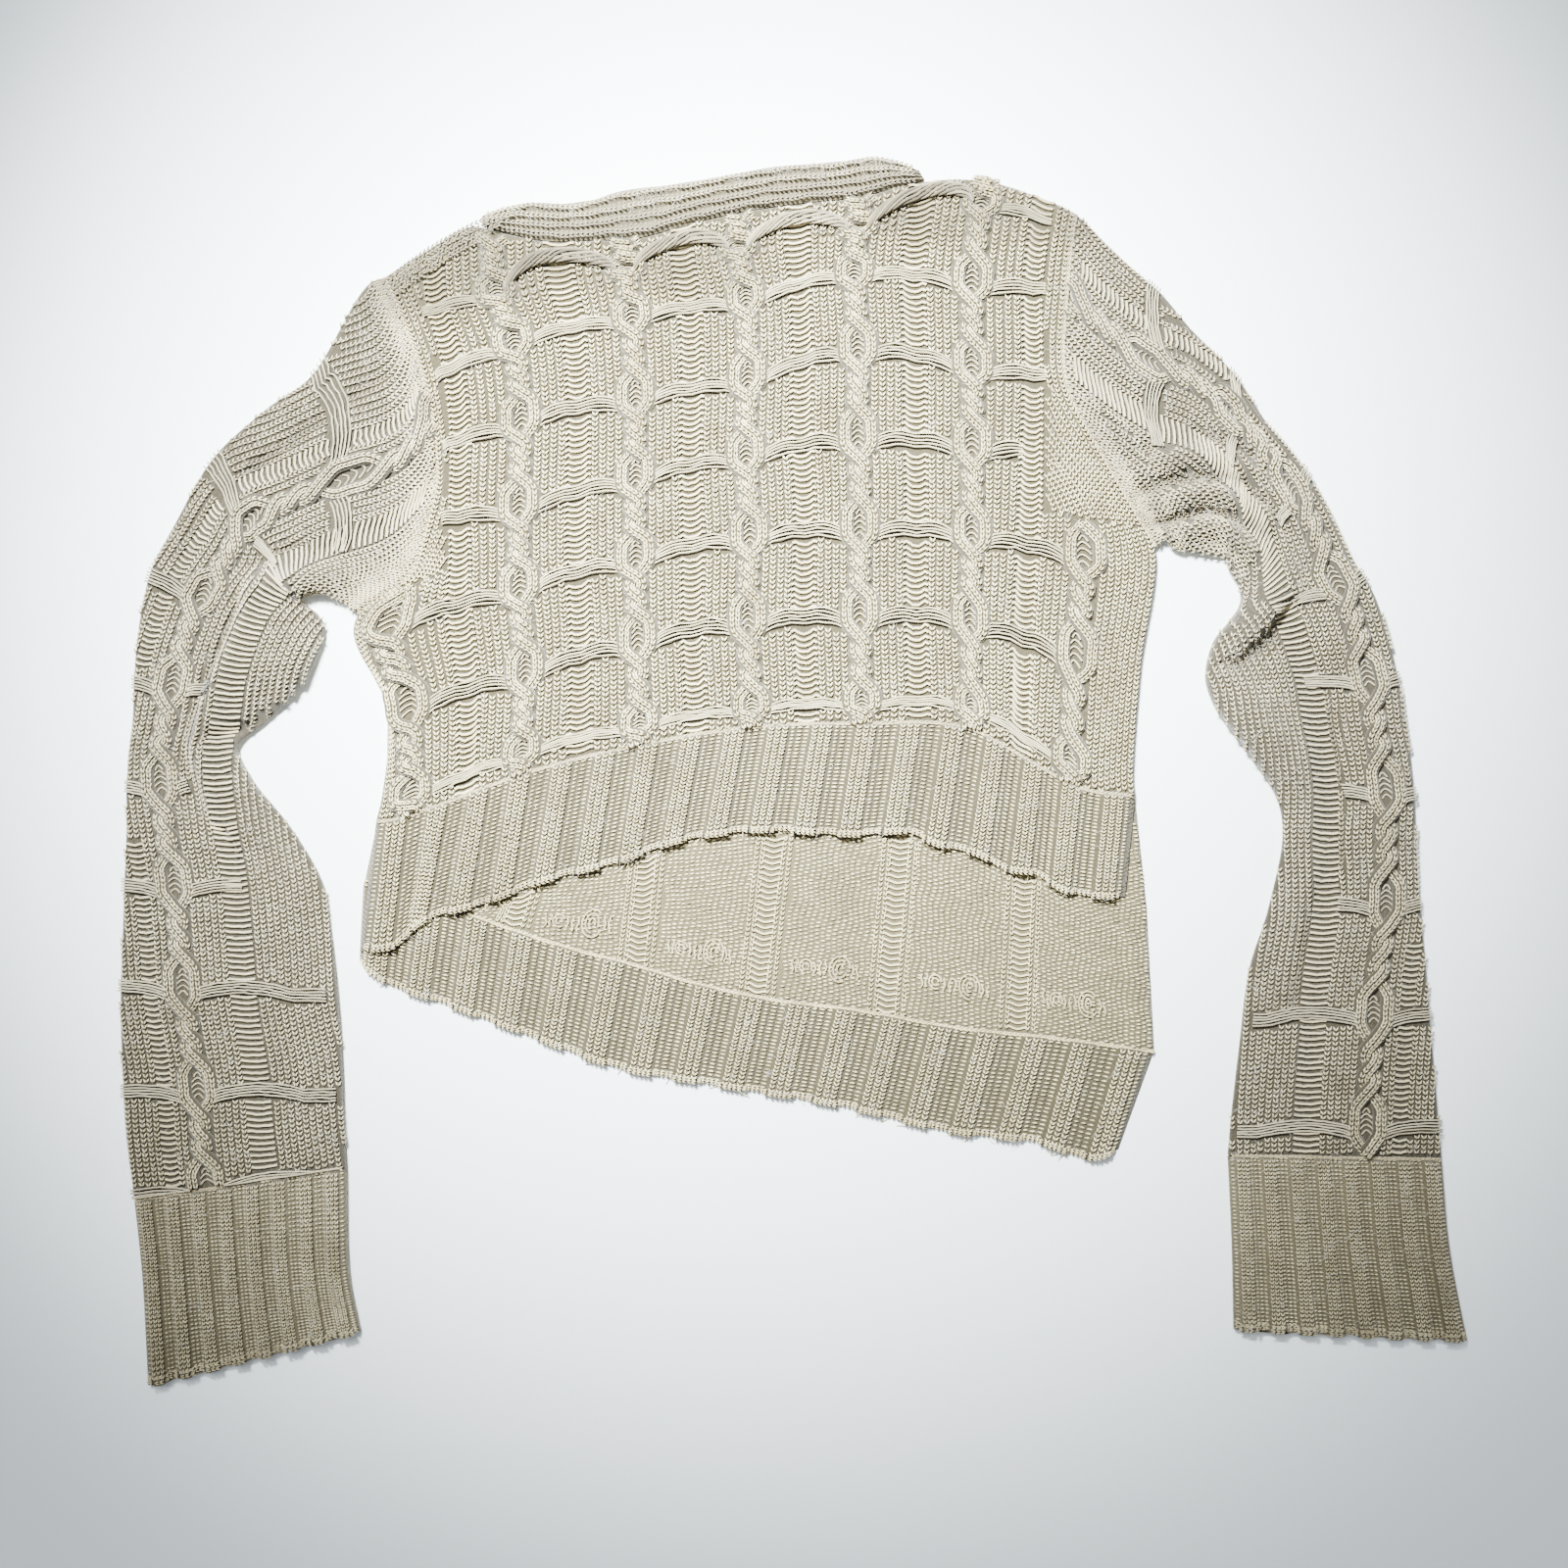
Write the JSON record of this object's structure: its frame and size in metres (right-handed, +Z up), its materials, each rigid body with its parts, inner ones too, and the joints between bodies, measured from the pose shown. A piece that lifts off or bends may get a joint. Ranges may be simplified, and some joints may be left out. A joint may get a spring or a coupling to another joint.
{
  "type": "cable knit sweater",
  "caption": "Cropped cable knit pullover laid flat, front up, with a wide neck, long bent sleeves and a slanting ribbed back hem.",
  "frame": {"origin": "middle of the garment's flat underside, on the surface it lies on", "axes": "+X to the right as the laid garment is looked down on, +Y from hem to neck, +Z up"},
  "size_m": [0.685, 0.6248, 0.0134],
  "materials": {
    "front_panel": "cream wool and mohair cable knit",
    "back_panel": "cream wool and mohair knit, purl side",
    "front_hem_rib": "cream wool and mohair rib",
    "back_hem_rib": "cream wool and mohair rib, inner side",
    "left_sleeve": "cream wool and mohair cable knit",
    "right_sleeve": "cream wool and mohair cable knit",
    "left_cuff": "cream wool and mohair rib",
    "right_cuff": "cream wool and mohair rib",
    "neckband": "cream wool and mohair rib"
  },
  "bodies": {
    "root": {"front_panel": "front_panel", "back_panel": "back_panel", "front_hem_rib": "front_hem_rib", "back_hem_rib": "back_hem_rib", "left_sleeve": "left_sleeve", "right_sleeve": "right_sleeve", "left_cuff": "left_cuff", "right_cuff": "right_cuff", "neckband": "neckband"}
  },
  "joints": []
}
